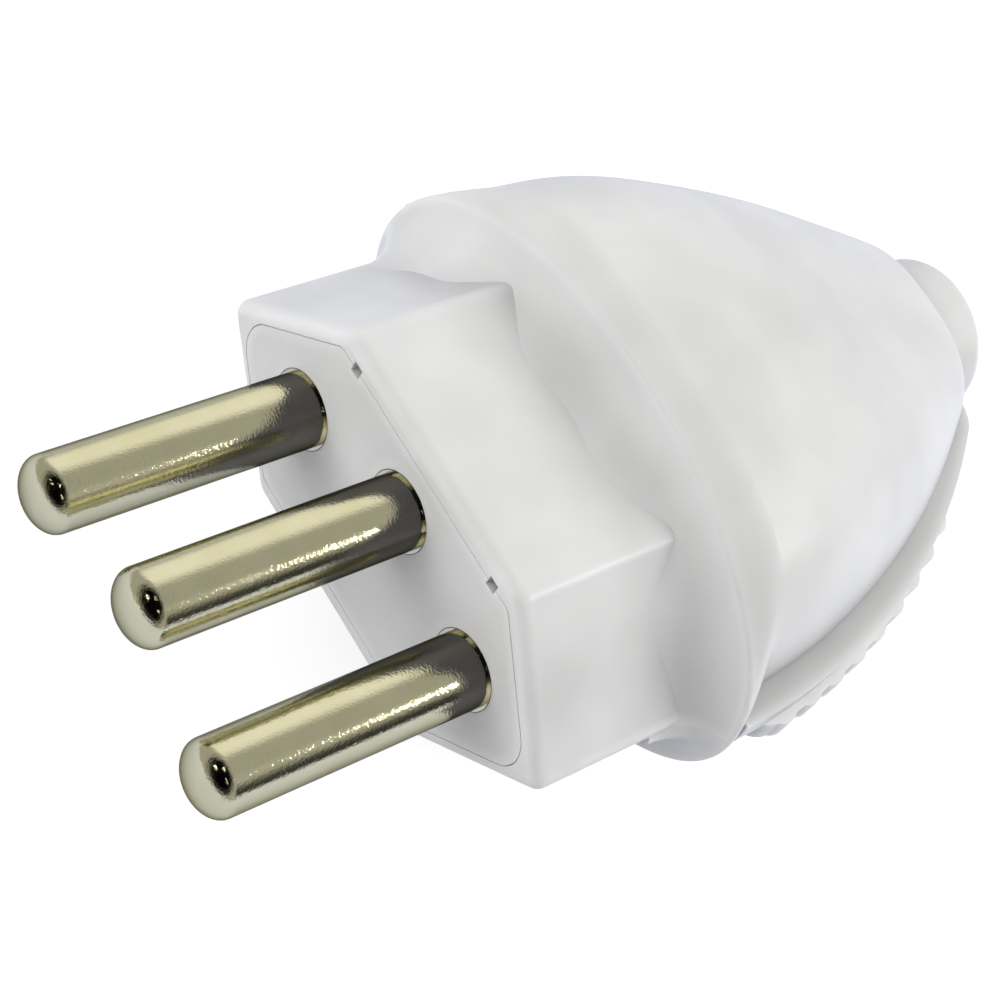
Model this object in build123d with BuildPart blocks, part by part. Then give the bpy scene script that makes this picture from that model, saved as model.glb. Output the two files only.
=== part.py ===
from build123d import *
import os
from math import copysign, cos, pi, radians, sin, sqrt

os.makedirs("parts", exist_ok=True)

# A rewirable three-pin plug. Lengths are in millimetres.
# The origin is the middle of the engagement face. +X runs along the row of the line and neutral pins,
# +Y towards the cord and +Z towards the upper shell.

# Fits
fit_gap = 0.1  # between pieces that slide into each other

# Pins and their pattern
pin_diameter = 4.8
pin_length = 19.0  # from the engagement face to the tip
pin_nose = 1.5  # height of the rounded tip
pin_spacing = 19.0  # between the line and neutral axes
pin_row_rise = 0.35  # that row above the middle of the neck
earth_rise = 3.0  # earth axis above the row
root_diameter = 5.2  # of the stretch inside the carrier
collar_diameter = 6.6
collar_width = 1.8
terminal_diameter = 6.0
terminal_length = 9.8
wire_hole_diameter = 3.4
wire_hole_depth = 7.5

# Neck that enters the socket: a hexagon with 45 degree flanks
neck_half_length = 18.2  # to the apex before it is rounded
neck_half_height = 8.85
neck_edge_round = 1.0  # of the two apexes
neck_corner_round = 1.5  # of the four broad corners
neck_front_round = 0.9

# Pin carrier, set flush in the front of the neck
carrier_half_length = 16.7  # to the apex before it is rounded
carrier_half_height = 7.4
carrier_tip_round = 2.5
carrier_corner_round = 0.8
carrier_gap = 0.06  # round the carrier in its pocket
carrier_depth = 8.0
notch_size = 0.8
notch_depth = 0.6
notch_spacing = 15.2

# Shoulder, rim and dome behind the neck
rim_y = 13.7
rim_half_length = 20.5
rim_half_height = 12.6
rim_drop = 0.3  # middle of the rim below the parting plane
rim_round = 0.4
cove_depth = 4.4
cove_inset = 0.15  # how far the cove starts inside the neck
dome_end = 44.8
dome_end_round = 1.0
dome_half_length = 18.1
dome_plan_radius = 50.8  # of the sides, seen from above
crest_y = 19.5
crest_half_height = 13.3
crest_fall = 8.7  # drop of the profile from the crest to where it would level out
crest_run = 36.0  # length of that drop
crest_fullness = 0.9  # added to the exponent 2 of an ellipse where the dome starts
tail_fullness = 0.4  # the same towards the tail
fullness_run = 15.0  # length over which the one turns into the other
lip_length = 2.6  # stretch over which the rim runs out into the dome
cove_sweep = 75.0  # degrees of the hollow curve
cove_steps = 4  # sections along each stretch
lip_steps = 4
dome_steps = 7
oval_points = 16  # along the outline of a section

# Walls
shell_wall = 2.0
ring_depth = 3.4  # front ring of the neck, which stays in one piece with the upper shell
tail_length = 2.4  # rear end of the dome, in one piece with the upper shell too

# Flange along the parting line, and the ribbed grip below it
flange_half_length = 20.3
flange_plan_radius = 47.5
flange_height = 1.9
flange_setback = 0.6  # behind the rim
flange_end = 46.0
flange_rear_round = 3.0
grip_half_length = 20.75
grip_plan_radius = 49.0
grip_setback = 2.4  # behind the rim
grip_front_round = 2.0
grip_rear_round = 2.2
grip_height = 1.7
grip_rib_diameter = 2.8
grip_rib_stand = 0.3  # ribs beyond the grip band
grip_rib_count = 9
grip_first_y = 18.8
grip_last_y = 38.9

# Cord entry
nozzle_diameter = 11.2
nozzle_stand = 4.2  # beyond the end of the dome
nozzle_round = 1.0
cord_hole_diameter = 8.4

# Walls that hold the pin collars
ledge_width = 1.8
stop_width = 1.6

# Terminal screws
terminal_screw_diameter = 3.0
terminal_screw_head = 5.0
terminal_screw_head_height = 1.8
terminal_screw_setback = 7.0  # from the front of the terminal
terminal_screw_stand = 0.4  # head below the terminal
terminal_screw_bite = 0.8  # how far the screw reaches into the wire hole

# Cord clamp and its screws
clamp_y = 30.5
clamp_width = 4.6
clamp_length = 18.8
clamp_thickness = 2.4
clamp_round = 0.6
clamp_seat = 3.2  # below the parting plane
clamp_screw_spacing = 14.0
clamp_screw_diameter = 2.9
clamp_screw_head = 4.4
clamp_screw_head_height = 1.4
clamp_screw_length = 9.0
clamp_post_diameter = 5.6
cradle_width = 1.6

# Cover screws
cover_screw_y = 25.0
cover_screw_spacing = 24.8
cover_screw_diameter = 2.9
cover_screw_head = 5.4
cover_screw_head_height = 2.0
cover_screw_seat = 3.8  # below the parting plane
cover_screw_length = 10.0
cover_boss_diameter = 5.8
cover_recess_diameter = 6.2
driver_slot_width = 0.9
driver_slot_depth = 0.9
screw_head_round = 0.5

# Places that follow from the sizes above
ledge_y = carrier_depth + fit_gap
collar_y = ledge_y + ledge_width + fit_gap
terminal_y = collar_y + collar_width
stop_y = terminal_y + fit_gap
terminal_end = terminal_y + terminal_length
tail_y = dome_end - tail_length
nozzle_end = dome_end + nozzle_stand
reach = 60.0  # longer than the plug, for cuts that go right through
pin_places = {
    "line_pin": (-pin_spacing / 2, pin_row_rise),
    "earth_pin": (0.0, pin_row_rise + earth_rise),
    "neutral_pin": (pin_spacing / 2, pin_row_rise),
}


def across(y):
    # Plane at a station y, with its own x along +X and its own y along +Z
    return Plane((0, y, 0), x_dir=(1, 0, 0), z_dir=(0, -1, 0))


def hexagon(half_length, half_height):
    corner = half_length - half_height
    return [
        (-half_length, 0),
        (-corner, half_height),
        (corner, half_height),
        (half_length, 0),
        (corner, -half_height),
        (-corner, -half_height),
    ]


def bowed(start, radius, y):
    # An arc seen in plan: it starts along +Y at the rim and bows in towards the axis
    return start - radius + sqrt(radius**2 - (y - rim_y) ** 2)


def profile_height(y):
    # The dome seen from the side: a crest just behind the rim, then a long fall towards the cord
    return crest_half_height - crest_fall * (1 - cos(pi * (y - crest_y) / crest_run)) / 2


def hexagon_prism(half_length, half_height, tip_round, corner_round, start, end):
    with BuildPart() as prism:
        with BuildSketch(across(start)) as section:
            Polygon(*hexagon(half_length, half_height), align=None)
            columns = section.vertices().group_by(Axis.X)
            fillet(columns[1] + columns[2], radius=corner_round)
            columns = section.vertices().group_by(Axis.X)
            fillet(columns[0] + columns[-1], radius=tip_round)
        extrude(amount=start - end)
    return prism.part


def oval(half_length, half_height, exponent, drop=0):
    # Points of a closed curve that is an ellipse at exponent 2 and squarer above
    points = []
    for step in range(oval_points):
        turn = 2 * pi * step / oval_points
        x = half_length * copysign(abs(cos(turn)) ** (2 / exponent), cos(turn))
        z = half_height * copysign(abs(sin(turn)) ** (2 / exponent), sin(turn))
        points.append((x, z - drop))
    return points


def oval_loft(sections):
    with BuildPart() as body:
        for y, points in sections:
            with BuildSketch(across(y)):
                with BuildLine():
                    Spline(*points, periodic=True)
                make_face()
        loft()
    return body.part


def lip_sections():
    # The rim runs out into the flank of the dome along a soft S
    sections = []
    for step in range(lip_steps + 1):
        along = step / lip_steps
        y = rim_y + lip_length * along
        flare = (1 + cos(pi * along)) / 2
        half_length = bowed(dome_half_length, dome_plan_radius, y)
        half_length += flare * (rim_half_length - dome_half_length)
        half_height = profile_height(y) + flare * (rim_half_height - profile_height(rim_y))
        exponent = 2 + crest_fullness * (1 - flare)
        sections.append((y, oval(half_length, half_height, exponent, rim_drop * flare)))
    return sections


def dome_sections(inset, start, end):
    sections = []
    for step in range(dome_steps + 1):
        y = start + (end - start) * step / dome_steps
        half_length = bowed(dome_half_length, dome_plan_radius, y) - inset
        along = min(1, (y - rim_y - lip_length) / fullness_run)
        fullness = tail_fullness + (crest_fullness - tail_fullness) * (1 + cos(pi * along)) / 2
        sections.append((y, oval(half_length, profile_height(y) - inset, 2 + fullness)))
    return sections


def cove_sections():
    # A hollow curve from just inside the walls of the neck up to the rim
    sections = []
    sweep = radians(cove_sweep)
    top = neck_half_height - cove_inset
    apex = neck_half_length - cove_inset * sqrt(2)
    for step in range(cove_steps + 1):
        turn = sweep * step / cove_steps
        forward = sin(turn) / sin(sweep)
        outward = (1 - cos(turn)) / (1 - cos(sweep))
        points = []
        for x, z in oval(rim_half_length, rim_half_height, 2, rim_drop):
            inside = 1 / max(abs(z) / top, (abs(x) + abs(z)) / apex)
            share = inside + (1 - inside) * outward
            points.append((x * share, z * share))
        sections.append((rim_y - cove_depth * (1 - forward), points))
    return sections


def plan_outline(half_length, radius, start, end, rear_round, front_round=0):
    # An outline on the parting plane, from behind the rim to the tail, with its corners rounded
    middle = (start + end) / 2
    with BuildSketch(Plane.XY) as outline:
        with BuildLine():
            side = ThreePointArc(
                (bowed(half_length, radius, start), start),
                (bowed(half_length, radius, middle), middle),
                (bowed(half_length, radius, end), end),
            )
            Polyline(side @ 1, (0, end), (0, start), side @ 0)
        make_face()
        mirror(about=Plane.YZ)
        rear = outline.vertices().group_by(Axis.Y)[-1].sort_by(Axis.X)
        fillet([rear[0], rear[-1]], radius=rear_round)
        if front_round:
            front = outline.vertices().group_by(Axis.Y)[0].sort_by(Axis.X)
            fillet([front[0], front[-1]], radius=front_round)
    return outline.sketch


def make_pin(x, z):
    with BuildPart() as pin:
        with BuildSketch(Plane((x, 0, z))):
            with BuildLine():
                nose = (0, pin_nose - pin_length)
                tip = EllipticalCenterArc(nose, pin_diameter / 2, pin_nose, start_angle=270, arc_size=90)
                Polyline(
                    tip @ 1,
                    (pin_diameter / 2, 0),
                    (root_diameter / 2, 0),
                    (root_diameter / 2, collar_y),
                    (collar_diameter / 2, collar_y),
                    (collar_diameter / 2, terminal_y),
                    (terminal_diameter / 2, terminal_y),
                    (terminal_diameter / 2, terminal_end),
                    (0, terminal_end),
                    tip @ 0,
                )
            make_face()
        revolve(axis=Axis((x, 0, z), (0, 1, 0)))
        with Locations(Plane((x, terminal_end, z), x_dir=(1, 0, 0), z_dir=(0, 1, 0))):
            Hole(wire_hole_diameter / 2, wire_hole_depth)
        screw_place = (x, terminal_y + terminal_screw_setback, z - terminal_diameter / 2)
        with Locations(Plane(screw_place, x_dir=(1, 0, 0), z_dir=(0, 0, -1))):
            Hole(terminal_screw_diameter / 2 + fit_gap / 2, terminal_diameter / 2)
    return pin.part


def make_screws(places, diameter, length, head_diameter, head_height):
    # Screws driven upwards: each place is the middle of the seat under a head
    with BuildPart() as screws:
        for x, y, z in places:
            with BuildSketch(Plane((x, y, z), x_dir=(1, 0, 0), z_dir=(0, -1, 0))):
                with BuildLine():
                    Polyline(
                        (0, -head_height),
                        (0, length),
                        (diameter / 2, length),
                        (diameter / 2, 0),
                        (head_diameter / 2, 0),
                        (head_diameter / 2, screw_head_round - head_height),
                        (head_diameter / 2 - screw_head_round, -head_height),
                        (0, -head_height),
                    )
                make_face()
            revolve(axis=Axis((x, y, z), (0, 0, 1)))
            with BuildSketch(Plane((x, y, z - head_height))):
                Rectangle(head_diameter, driver_slot_width)
            extrude(amount=driver_slot_depth, mode=Mode.SUBTRACT)
    return screws.part


def finish(part, name):
    part.label = name
    export_step(part, f"parts/{name}.step")


# Outer form of the whole housing, before it is parted
neck = hexagon_prism(neck_half_length, neck_half_height, neck_edge_round, neck_corner_round, 0, rim_y)
cove = oval_loft(cove_sections())
lip = oval_loft(lip_sections())
with BuildPart() as dome:
    add(oval_loft(dome_sections(0, rim_y + lip_length, dome_end)))
    end_edge = dome.faces().sort_by(Axis.Y)[-1].edges()
    fillet(end_edge, radius=dome_end_round)
with BuildPart() as housing:
    add(neck)
    front_edges = housing.faces().sort_by(Axis.Y)[0].edges()
    fillet(front_edges, radius=neck_front_round)
    add(cove)
    add(lip)
    rim_edges = housing.edges().filter_by_position(Axis.Y, rim_y - fit_gap, rim_y + fit_gap)
    fillet(rim_edges, radius=rim_round)
    add(dome.part)
    with BuildSketch(across(tail_y)):
        Circle(nozzle_diameter / 2)
    extrude(amount=tail_y - nozzle_end)
    nozzle_edge = housing.faces().sort_by(Axis.Y)[-1].edges()
    fillet(nozzle_edge, radius=nozzle_round)

# Hollow inside, which both shells share
inner_neck = hexagon_prism(
    neck_half_length - shell_wall * sqrt(2),
    neck_half_height - shell_wall,
    neck_edge_round,
    neck_corner_round,
    ledge_y,
    rim_y + 2 * shell_wall,
)
inner_dome = oval_loft(dome_sections(shell_wall, rim_y + shell_wall, tail_y))
carrier_pocket = hexagon_prism(
    carrier_half_length + carrier_gap * sqrt(2),
    carrier_half_height + carrier_gap,
    carrier_tip_round + carrier_gap,
    carrier_corner_round + carrier_gap,
    0,
    ledge_y,
)
with BuildPart() as hollow:
    add(inner_neck)
    add(inner_dome)
    with BuildSketch(across(tail_y - shell_wall)):
        Circle(cord_hole_diameter / 2)
    extrude(amount=tail_y - shell_wall - nozzle_end)

# Slots in the two cross walls: the pins drop in from below
with BuildSketch(across(ledge_y)) as pin_slots:
    for x, z in pin_places.values():
        with Locations((x, z)):
            Circle(root_diameter / 2 + fit_gap)
        with Locations((x, z / 2)):
            Rectangle(root_diameter + 2 * fit_gap, z + fit_gap)
with BuildSketch(across(stop_y)) as terminal_slots:
    for x, z in pin_places.values():
        with Locations((x, z)):
            Circle(terminal_diameter / 2 + fit_gap)
        with Locations((x, z / 2)):
            Rectangle(terminal_diameter + 2 * fit_gap, z + fit_gap)
with BuildPart() as cross_walls:
    with BuildSketch(across(ledge_y)):
        Rectangle(reach, reach)
        add(pin_slots.sketch, mode=Mode.SUBTRACT)
    extrude(amount=-ledge_width)
    with BuildSketch(across(stop_y)):
        Rectangle(reach, reach)
        add(terminal_slots.sketch, mode=Mode.SUBTRACT)
    extrude(amount=-stop_width)

# Upper shell: dome, flange, front ring and the whole cord nozzle
cover_places = [(-cover_screw_spacing / 2, cover_screw_y), (cover_screw_spacing / 2, cover_screw_y)]
clamp_places = [(-clamp_screw_spacing / 2, clamp_y), (clamp_screw_spacing / 2, clamp_y)]
with BuildPart() as upper_core:
    add(hollow.part)
    add(cross_walls.part, mode=Mode.SUBTRACT)
    with BuildSketch(across(clamp_y - cradle_width / 2)):
        with Locations((0, reach / 4)):
            Rectangle(clamp_screw_spacing, reach / 2)
        Circle(cord_hole_diameter / 2, mode=Mode.SUBTRACT)
    extrude(amount=-cradle_width, mode=Mode.SUBTRACT)
    with BuildSketch(Plane.XY):
        with Locations(*cover_places):
            Circle(cover_boss_diameter / 2)
        with Locations(*clamp_places):
            Circle(clamp_post_diameter / 2)
    extrude(amount=reach, mode=Mode.SUBTRACT)
with BuildPart() as upper_shell:
    add(housing.part)
    with BuildSketch(Plane.XY):
        with Locations((0, (ring_depth + tail_y) / 2)):
            Rectangle(reach, tail_y - ring_depth)
    extrude(amount=-reach, mode=Mode.SUBTRACT)
    flange_start = rim_y + flange_setback
    add(plan_outline(flange_half_length, flange_plan_radius, flange_start, flange_end, flange_rear_round))
    extrude(amount=flange_height)
    add(upper_core.part, mode=Mode.SUBTRACT)
    add(carrier_pocket, mode=Mode.SUBTRACT)
    with BuildSketch(Plane.XY.offset(-clamp_seat)):
        with Locations(*clamp_places):
            Circle(clamp_post_diameter / 2)
    extrude(amount=clamp_seat + flange_height)
    with BuildSketch(Plane.XY.offset(-clamp_seat)):
        with Locations(*clamp_places):
            Circle(clamp_screw_diameter / 2 + fit_gap / 2)
    extrude(amount=clamp_screw_length + fit_gap, mode=Mode.SUBTRACT)
    with BuildSketch(Plane.XY):
        with Locations(*cover_places):
            Circle(cover_screw_diameter / 2 + fit_gap / 2)
    extrude(amount=cover_screw_length - cover_screw_seat + fit_gap, mode=Mode.SUBTRACT)
    with BuildSketch(across(0)):
        with Locations((-notch_spacing / 2, carrier_half_height), (notch_spacing / 2, carrier_half_height)):
            Rectangle(notch_size, notch_size)
    extrude(amount=-notch_depth, mode=Mode.SUBTRACT)

# Lower cover: a hatch between the front ring and the tail, with the ribbed grip on both sides
with BuildPart() as lower_core:
    add(hollow.part)
    add(cross_walls.part, mode=Mode.SUBTRACT)
    with BuildSketch(Plane.XY):
        with Locations(*cover_places):
            Circle(cover_boss_diameter / 2)
    extrude(amount=-reach, mode=Mode.SUBTRACT)
rib_inset = grip_rib_diameter / 2 - grip_rib_stand
with BuildPart() as lower_cover:
    add(housing.part)
    with BuildSketch(Plane.XY):
        Rectangle(reach * 2, reach * 3)
    extrude(amount=reach, mode=Mode.SUBTRACT)
    with BuildSketch(Plane.XY):
        Rectangle(reach, 2 * (ring_depth + fit_gap))
        with Locations((0, tail_y - fit_gap + reach / 2)):
            Rectangle(reach, reach)
    extrude(amount=-reach, mode=Mode.SUBTRACT)
    grip_start = rim_y + grip_setback
    grip_end = tail_y - fit_gap
    add(
        plan_outline(
            grip_half_length,
            grip_plan_radius,
            grip_start,
            grip_end,
            grip_rear_round,
            grip_front_round,
        )
    )
    extrude(amount=-grip_height)
    with BuildSketch(Plane.XY):
        for step in range(grip_rib_count):
            y = grip_first_y + (grip_last_y - grip_first_y) * step / (grip_rib_count - 1)
            x = bowed(grip_half_length - rib_inset, grip_plan_radius - rib_inset, y)
            with Locations((x, y), (-x, y)):
                Circle(grip_rib_diameter / 2)
    extrude(amount=-grip_height)
    add(lower_core.part, mode=Mode.SUBTRACT)
    add(carrier_pocket, mode=Mode.SUBTRACT)
    with BuildSketch(Plane.XY):
        with Locations(*cover_places):
            Circle(cover_screw_diameter / 2 + fit_gap)
    extrude(amount=-reach, mode=Mode.SUBTRACT)
    with BuildSketch(Plane.XY.offset(-cover_screw_seat)):
        with Locations(*cover_places):
            Circle(cover_recess_diameter / 2)
    extrude(amount=-reach, mode=Mode.SUBTRACT)

# Pin carrier
with BuildPart() as pin_carrier:
    add(
        hexagon_prism(
            carrier_half_length,
            carrier_half_height,
            carrier_tip_round,
            carrier_corner_round,
            0,
            carrier_depth,
        )
    )
    with BuildSketch(across(0)):
        with Locations(*pin_places.values()):
            Circle(root_diameter / 2 + fit_gap / 2)
    extrude(amount=-carrier_depth, mode=Mode.SUBTRACT)
    with BuildSketch(across(0)):
        with Locations((-notch_spacing / 2, carrier_half_height), (notch_spacing / 2, carrier_half_height)):
            Rectangle(notch_size, notch_size)
    extrude(amount=-notch_depth, mode=Mode.SUBTRACT)

# Cord clamp: a bar with a saddle for the cord, on two posts of the upper shell
with BuildPart() as cord_clamp:
    with BuildSketch(across(clamp_y - clamp_width / 2)):
        with Locations((0, -clamp_seat - clamp_thickness / 2)):
            RectangleRounded(clamp_length, clamp_thickness, clamp_round)
        Circle(cord_hole_diameter / 2, mode=Mode.SUBTRACT)
    extrude(amount=-clamp_width)
    with BuildSketch(Plane.XY.offset(-clamp_seat)):
        with Locations(*clamp_places):
            Circle(clamp_screw_diameter / 2 + fit_gap)
    extrude(amount=-clamp_thickness, mode=Mode.SUBTRACT)
    with BuildSketch(Plane.XY.offset(-clamp_seat - clamp_thickness)):
        with Locations(*clamp_places):
            Circle(clamp_screw_head / 2 + fit_gap)
    extrude(amount=clamp_screw_head_height, mode=Mode.SUBTRACT)

finish(upper_shell.part, "upper_shell")
finish(lower_cover.part, "lower_cover")
finish(pin_carrier.part, "pin_carrier")
finish(cord_clamp.part, "cord_clamp")
for name, (x, z) in pin_places.items():
    finish(make_pin(x, z), name)

terminal_screw_y = terminal_y + terminal_screw_setback
terminal_seats = [
    (x, terminal_screw_y, z - terminal_diameter / 2 - terminal_screw_stand) for x, z in pin_places.values()
]
terminal_wall = (terminal_diameter - wire_hole_diameter) / 2
terminal_screw_length = terminal_screw_stand + terminal_wall + terminal_screw_bite
finish(
    make_screws(
        terminal_seats,
        terminal_screw_diameter,
        terminal_screw_length,
        terminal_screw_head,
        terminal_screw_head_height,
    ),
    "terminal_screws",
)
clamp_seat_z = -clamp_seat - clamp_thickness + clamp_screw_head_height
finish(
    make_screws(
        [(x, y, clamp_seat_z) for x, y in clamp_places],
        clamp_screw_diameter,
        clamp_screw_length,
        clamp_screw_head,
        clamp_screw_head_height,
    ),
    "clamp_screws",
)
finish(
    make_screws(
        [(x, y, -cover_screw_seat) for x, y in cover_places],
        cover_screw_diameter,
        cover_screw_length,
        cover_screw_head,
        cover_screw_head_height,
    ),
    "cover_screws",
)
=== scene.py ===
import bpy
from math import cos, radians, sin
from mathutils import Euler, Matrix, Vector


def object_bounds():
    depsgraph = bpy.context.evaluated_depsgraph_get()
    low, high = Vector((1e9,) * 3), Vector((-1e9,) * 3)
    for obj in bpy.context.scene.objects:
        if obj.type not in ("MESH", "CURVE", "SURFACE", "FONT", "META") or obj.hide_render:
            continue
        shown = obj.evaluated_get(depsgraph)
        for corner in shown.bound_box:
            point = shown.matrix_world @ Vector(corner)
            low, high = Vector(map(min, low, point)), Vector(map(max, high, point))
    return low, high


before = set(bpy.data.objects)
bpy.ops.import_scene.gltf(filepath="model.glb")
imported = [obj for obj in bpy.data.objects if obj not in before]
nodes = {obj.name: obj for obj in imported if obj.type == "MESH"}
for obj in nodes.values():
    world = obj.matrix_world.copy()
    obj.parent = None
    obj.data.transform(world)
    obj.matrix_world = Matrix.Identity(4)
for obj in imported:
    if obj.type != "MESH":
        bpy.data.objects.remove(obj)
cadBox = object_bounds()
millimetre = 0.001
colourA = 6  # sockets of a Mix node that mixes colours: two to mix, and the result
colourB = 7
mixed = 2
print("frame loaded with", len(nodes), "nodes")


def hexColour(code):
    # sRGB hex to the linear values that Blender works in
    linear = []
    for start in (1, 3, 5):
        part = int(code[start:start + 2], 16) / 255
        linear.append(part / 12.92 if part <= 0.04045 else ((part + 0.055) / 1.055) ** 2.4)
    return (*linear, 1.0)


def addNode(tree, kind, settings, links):
    # settings fill sockets or properties by name, links join other nodes' outputs to sockets
    node = tree.nodes.new(kind)
    for name, value in settings.items():
        if isinstance(name, str) and hasattr(node, name):
            setattr(node, name, value)
    for name, value in settings.items():
        if not (isinstance(name, str) and hasattr(node, name)):
            node.inputs[name].default_value = value
    for name, socket in links.items():
        tree.links.new(socket, node.inputs[name])
    return node


def newMaterial(name):
    material = bpy.data.materials.new(name)
    material.use_nodes = True
    material.node_tree.nodes.clear()
    return material


# Moulded white ABS: glossy skin, a little light passes into it, faint clouds from the flow of the melt,
# thin edges painted lighter as a highlight and hollows painted darker as shade
whiteAbs = {
    "lightColour": "#f4f4f3",
    "cloudColour": "#d2d2d1",
    "cloudSize": 8 * millimetre,
    "cloudDetail": 2,
    "roughness": 0.33,
    "roughnessSpread": 0.06,
    "depth": 1.2 * millimetre,  # how far light goes into the skin
    "depthWeight": 0.2,
    # painted highlight: convex edges thinner than the reach are drawn near white
    "edgeTintAndPaintedHighlight": "#fbfbfa",
    "paintedHighlightReach": 0.9 * millimetre,
    # painted shade: hollows and creases within the reach are drawn darker
    "paintedShadeColour": "#868685",
    "paintedShadeReach": 6 * millimetre,
    # painted reflection: glossy rays see the white body in this dark colour
    "paintedShadeInMetal": "#5a5b6e",  # how dark the body looks in the pins
    "probes": 6,  # rays that look for edges and hollows
    "ior": 1.53,
}


def makePlastic(name, plastic):
    material = newMaterial(name)
    tree = material.node_tree
    place = addNode(tree, "ShaderNodeTexCoord", {}, {}).outputs["Object"]
    clouds = addNode(
        tree,
        "ShaderNodeTexNoise",
        {"Scale": 1 / plastic["cloudSize"], "Detail": plastic["cloudDetail"]},
        {"Vector": place},
    )
    tone = addNode(
        tree,
        "ShaderNodeMix",
        {
            "data_type": "RGBA",
            colourA: hexColour(plastic["lightColour"]),
            colourB: hexColour(plastic["cloudColour"]),
        },
        {0: clouds.outputs[0]},
    )
    # painted shade: the AO finds hollows, which are mixed towards the dark colour
    hollow = addNode(
        tree,
        "ShaderNodeAmbientOcclusion",
        {"samples": plastic["probes"], "only_local": True, "Distance": plastic["paintedShadeReach"]},
        {},
    )
    shaded = addNode(
        tree,
        "ShaderNodeMix",
        {"data_type": "RGBA", colourA: hexColour(plastic["paintedShadeColour"])},
        {0: hollow.outputs["AO"], colourB: tone.outputs[mixed]},
    )
    # painted highlight: the inside AO finds thin convex edges, which are mixed towards the near-white
    # colour
    edge = addNode(
        tree,
        "ShaderNodeAmbientOcclusion",
        {
            "samples": plastic["probes"],
            "inside": True,
            "only_local": True,
            "Distance": plastic["paintedHighlightReach"],
        },
        {},
    )
    edged = addNode(
        tree,
        "ShaderNodeMix",
        {"data_type": "RGBA", colourA: hexColour(plastic["edgeTintAndPaintedHighlight"])},
        {0: edge.outputs["AO"], colourB: shaded.outputs[mixed]},
    )
    # painted reflection: for glossy rays the base colour turns dark, so the pins mirror a dark body
    rays = addNode(tree, "ShaderNodeLightPath", {}, {})
    seen = addNode(
        tree,
        "ShaderNodeMix",
        {"data_type": "RGBA", colourB: hexColour(plastic["paintedShadeInMetal"])},
        {0: rays.outputs["Is Glossy Ray"], colourA: edged.outputs[mixed]},
    )
    polish = addNode(
        tree,
        "ShaderNodeMapRange",
        {
            "To Min": plastic["roughness"] - plastic["roughnessSpread"] / 2,
            "To Max": plastic["roughness"] + plastic["roughnessSpread"] / 2,
        },
        {"Value": clouds.outputs[0]},
    )
    shader = addNode(
        tree,
        "ShaderNodeBsdfPrincipled",
        {
            "IOR": plastic["ior"],
            "Subsurface Weight": plastic["depthWeight"],
            "Subsurface Scale": plastic["depth"],
            "Subsurface Radius": (1, 1, 1),
        },
        {"Base Color": seen.outputs[mixed], "Roughness": polish.outputs[0]},
    )
    addNode(tree, "ShaderNodeOutputMaterial", {}, {"Surface": shader.outputs[0]})
    return material


# Nickel-plated brass: warm mirror-like skin, grainy from the plating, with painted light at the
# shoulder in the carrier, where it is drawn paler. The grain is drawn coarser than the real one, so
# that it shows.
platedBrass = {
    "colour": "#e6e2c0",
    "wornColour": "#d4cda2",
    # for the metals this colour is only their own tint at a grazing angle
    "edgeTintAndPaintedHighlight": "#8f8c78",  # at a grazing angle
    "wearSize": 3 * millimetre,
    "wearDetail": 4,
    "roughness": 0.12,
    "roughnessSpread": 0.06,
    "pitSize": 0.16 * millimetre,
    "pitDetail": 2,
    "pitDepth": 0.013 * millimetre,
    # painted light: the pin is drawn paler from just in front of the carrier face inwards, lightening
    # the dark ring seen there
    "shoulderPaintedLight": "#f1e8ce",
    "shoulderPaintedLightFrom": -0.04 * millimetre,
    "shoulderPaintedLightTo": -0.01 * millimetre,
}


def makeMetal(name, metal):
    material = newMaterial(name)
    tree = material.node_tree
    place = addNode(tree, "ShaderNodeTexCoord", {}, {}).outputs["Object"]
    wear = addNode(
        tree,
        "ShaderNodeTexNoise",
        {"Scale": 1 / metal["wearSize"], "Detail": metal["wearDetail"]},
        {"Vector": place},
    )
    tone = addNode(
        tree,
        "ShaderNodeMix",
        {
            "data_type": "RGBA",
            colourA: hexColour(metal["colour"]),
            colourB: hexColour(metal["wornColour"]),
        },
        {0: wear.outputs[0]},
    )
    skin = tone.outputs[mixed]
    # painted light: paler colour where the pin meets the carrier face
    if "shoulderPaintedLight" in metal:
        along = addNode(tree, "ShaderNodeSeparateXYZ", {}, {0: place})
        depth = addNode(
            tree,
            "ShaderNodeMapRange",
            {"From Min": metal["shoulderPaintedLightFrom"], "From Max": metal["shoulderPaintedLightTo"]},
            {"Value": along.outputs["Y"]},
        )
        shoulder = addNode(
            tree,
            "ShaderNodeMix",
            {"data_type": "RGBA", colourB: hexColour(metal["shoulderPaintedLight"])},
            {0: depth.outputs[0], colourA: skin},
        )
        skin = shoulder.outputs[mixed]
    polish = addNode(
        tree,
        "ShaderNodeMapRange",
        {
            "To Min": metal["roughness"] - metal["roughnessSpread"] / 2,
            "To Max": metal["roughness"] + metal["roughnessSpread"] / 2,
        },
        {"Value": wear.outputs[0]},
    )
    pits = addNode(
        tree,
        "ShaderNodeTexNoise",
        {"Scale": 1 / metal["pitSize"], "Detail": metal["pitDetail"]},
        {"Vector": place},
    )
    bump = addNode(
        tree,
        "ShaderNodeBump",
        {"Strength": 1, "Distance": metal["pitDepth"]},
        {"Height": pits.outputs[0]},
    )
    shader = addNode(
        tree,
        "ShaderNodeBsdfPrincipled",
        {"Metallic": 1, "Specular Tint": hexColour(metal["edgeTintAndPaintedHighlight"])},
        {"Base Color": skin, "Roughness": polish.outputs[0], "Normal": bump.outputs[0]},
    )
    addNode(tree, "ShaderNodeOutputMaterial", {}, {"Surface": shader.outputs[0]})
    return material


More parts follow.
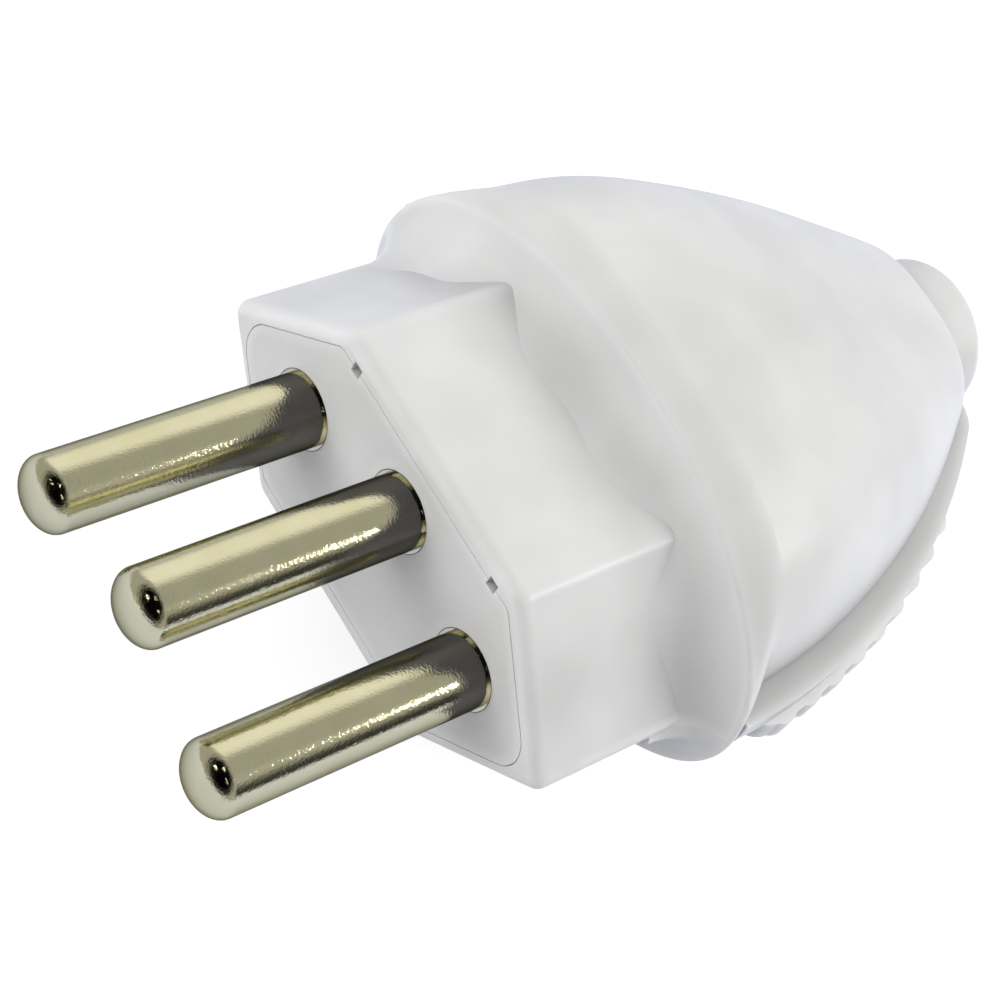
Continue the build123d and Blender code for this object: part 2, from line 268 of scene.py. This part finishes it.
# Zinc-plated steel of the hidden screws: grey, softly blotched
zincSteel = {
    "colour": "#b9bbb9",
    "wornColour": "#a3a6a6",
    "edgeTintAndPaintedHighlight": "#e0e0e0",
    "wearSize": 1.2 * millimetre,
    "wearDetail": 4,
    "roughness": 0.38,
    "roughnessSpread": 0.12,
    "pitSize": 0.2 * millimetre,
    "pitDetail": 2,
    "pitDepth": 0.01 * millimetre,
}

# Satin ABS of the pin carrier and the clamp: the same plastic from a less polished mould
satinAbs = {**whiteAbs, "lightColour": "#ededec", "roughness": 0.4}

housingPlastic = makePlastic("moulded_white_abs", whiteAbs)
carrierPlastic = makePlastic("satin_white_abs", satinAbs)
pinMetal = makeMetal("nickel_plated_brass", platedBrass)
screwMetal = makeMetal("zinc_plated_steel", zincSteel)
finishes = {
    "upper_shell": housingPlastic,
    "lower_cover": housingPlastic,
    "pin_carrier": carrierPlastic,
    "cord_clamp": carrierPlastic,
    "line_pin": pinMetal,
    "earth_pin": pinMetal,
    "neutral_pin": pinMetal,
    "terminal_screws": screwMetal,
    "clamp_screws": screwMetal,
    "cover_screws": screwMetal,
}
for name, material in finishes.items():
    nodes[name].data.materials.clear()
    nodes[name].data.materials.append(material)
print("finishes set on", len(finishes), "nodes")


# White table under the plug, bright to the camera and dimmer in the metal, with the plug's faint shadow
table = {
    "size": 8.0,
    "colour": "#bcbcbc",
    "roughness": 0.9,
    "glow": 0.72,
    "glowInMetal": 0.48,
    "tintInMetal": "#c0ccff",  # the metal's own warm colour turns this to a plain grey
}
bpy.ops.mesh.primitive_grid_add(size=table["size"], location=(0, 0, cadBox[0].z))
floor = bpy.context.object
floor.name = "table_top"
floorPaper = newMaterial("white_table")
floorTree = floorPaper.node_tree
floorRays = addNode(floorTree, "ShaderNodeLightPath", {}, {})
seenStraight = addNode(
    floorTree,
    "ShaderNodeMath",
    {"operation": "MAXIMUM"},
    {0: floorRays.outputs["Is Camera Ray"], 1: floorRays.outputs["Is Transmission Ray"]},
)
straightGlow = addNode(
    floorTree,
    "ShaderNodeMath",
    {"operation": "MULTIPLY", 1: table["glow"]},
    {0: seenStraight.outputs[0]},
)
glow = addNode(
    floorTree,
    "ShaderNodeMath",
    {"operation": "MULTIPLY_ADD", 1: table["glowInMetal"]},
    {0: floorRays.outputs["Is Glossy Ray"], 2: straightGlow.outputs[0]},
)
glowTint = addNode(
    floorTree,
    "ShaderNodeMix",
    {"data_type": "RGBA", colourA: (1, 1, 1, 1), colourB: hexColour(table["tintInMetal"])},
    {0: floorRays.outputs["Is Glossy Ray"]},
)
paper = addNode(
    floorTree,
    "ShaderNodeBsdfPrincipled",
    {"Base Color": hexColour(table["colour"]), "Roughness": table["roughness"]},
    {"Emission Color": glowTint.outputs[mixed], "Emission Strength": glow.outputs[0]},
)
addNode(floorTree, "ShaderNodeOutputMaterial", {}, {"Surface": paper.outputs[0]})
floor.data.materials.append(floorPaper)
print("table set")

# Room: even soft light, a window behind the plug, a dark wall to the right of it and a dark place
# round the camera, which the pins and their tips mirror. From and to are cosines of the angle to each.
room = {
    "strength": 0.44,
    "window": {"azimuth": 231, "elevation": 28, "strength": 0.56, "from": 0.78, "to": 0.97},
    "darkWall": {"azimuth": 125, "elevation": 0, "strength": -0.4, "from": 0.85, "to": 0.985},
    "darkFront": {"azimuth": 26, "elevation": 50, "strength": -0.44, "from": 0.46, "to": 0.82},
}
view = {
    "azimuth": 25.61,
    "elevation": 50.42,
    "roll": -37.14,
    "distance": 150 * millimetre,
    "target": (-0.44 * millimetre, 10.91 * millimetre, -2.26 * millimetre),
    "lens": 85.7,
}


def direction(azimuth, elevation):
    # azimuth 0 is the side of the pins, and 90 the side of +X
    turn = radians(azimuth)
    rise = radians(elevation)
    return Vector((sin(turn) * cos(rise), -cos(turn) * cos(rise), sin(rise)))


towardsCamera = direction(view["azimuth"], view["elevation"])
world = bpy.data.worlds.new("studio")
bpy.context.scene.world = world
world.use_nodes = True
worldTree = world.node_tree
worldTree.nodes.clear()
outward = addNode(worldTree, "ShaderNodeTexCoord", {}, {}).outputs["Generated"]
levels = []
for patch in (room["window"], room["darkWall"], room["darkFront"]):
    towards = direction(patch["azimuth"], patch["elevation"])
    near = addNode(
        worldTree,
        "ShaderNodeVectorMath",
        {"operation": "DOT_PRODUCT", 1: towards},
        {0: outward},
    )
    level = addNode(
        worldTree,
        "ShaderNodeMapRange",
        {
            "interpolation_type": "SMOOTHSTEP",
            "From Min": patch["from"],
            "From Max": patch["to"],
            "To Max": patch["strength"],
        },
        {"Value": near.outputs["Value"]},
    )
    levels.append(level.outputs[0])
windowed = addNode(worldTree, "ShaderNodeMath", {1: room["strength"]}, {0: levels[0]})
shaded = addNode(worldTree, "ShaderNodeMath", {}, {0: levels[1], 1: levels[2]})
roomLevel = addNode(
    worldTree, "ShaderNodeMath", {"use_clamp": True}, {0: windowed.outputs[0], 1: shaded.outputs[0]}
)
backdrop = addNode(
    worldTree, "ShaderNodeBackground", {"Color": (1, 1, 1, 1)}, {"Strength": roomLevel.outputs[0]}
)
addNode(worldTree, "ShaderNodeOutputWorld", {}, {"Surface": backdrop.outputs[0]})
print("room set")

# Lamps: four large soft boxes that fill the form, a small lamp low behind, and spots near the camera.
# The pins mirror only the small ones.
softBox = {"distance": 0.45, "size": 0.34, "mirrored": False}
smallLamp = {"distance": 0.4, "size": 0.024, "mirrored": True}
lamps = {
    "frontBox": {**softBox, "azimuth": 350, "elevation": 18, "power": 0.94},
    "rightBox": {**softBox, "azimuth": 75, "elevation": 32, "power": 0.24},
    "rearBox": {**softBox, "azimuth": 145, "elevation": 32, "power": 1.25},
    "leftBox": {**softBox, "azimuth": 300, "elevation": 30, "power": 0.62},
    "lowLamp": {**smallLamp, "azimuth": 133, "elevation": 33, "size": 0.045, "power": 0.15},
    "spotA": {**smallLamp, "azimuth": 352, "elevation": 40, "power": 0.02},
    "spotB": {**smallLamp, "azimuth": 56, "elevation": 42, "power": 0.02},
    "spotC": {**smallLamp, "azimuth": 30, "elevation": 72, "power": 0.012},
}
middle = (cadBox[0] + cadBox[1]) / 2
for name, lamp in lamps.items():
    light = bpy.data.lights.new(name, "AREA")
    light.shape = "DISK"
    light.size = lamp["size"]
    light.energy = lamp["power"]
    holder = bpy.data.objects.new(name, light)
    towards = direction(lamp["azimuth"], lamp["elevation"])
    holder.location = middle + towards * lamp["distance"]
    holder.rotation_euler = towards.to_track_quat("Z", "Y").to_euler()
    holder.visible_glossy = lamp["mirrored"]
    bpy.context.collection.objects.link(holder)
print("lamps set:", ", ".join(lamps))

# Camera from the side of the pins, above, and rolled
camera = bpy.data.objects.new("camera", bpy.data.cameras.new("camera"))
camera.data.lens = view["lens"]
camera.data.clip_start = millimetre
upright = towardsCamera.to_track_quat("Z", "Y")
camera.rotation_mode = "QUATERNION"
camera.rotation_quaternion = upright @ Euler((0, 0, radians(-view["roll"]))).to_quaternion()
camera.location = Vector(view["target"]) + towardsCamera * view["distance"]
bpy.context.collection.objects.link(camera)
bpy.context.scene.camera = camera
bpy.context.scene.view_settings.view_transform = "Standard"
print("camera set")
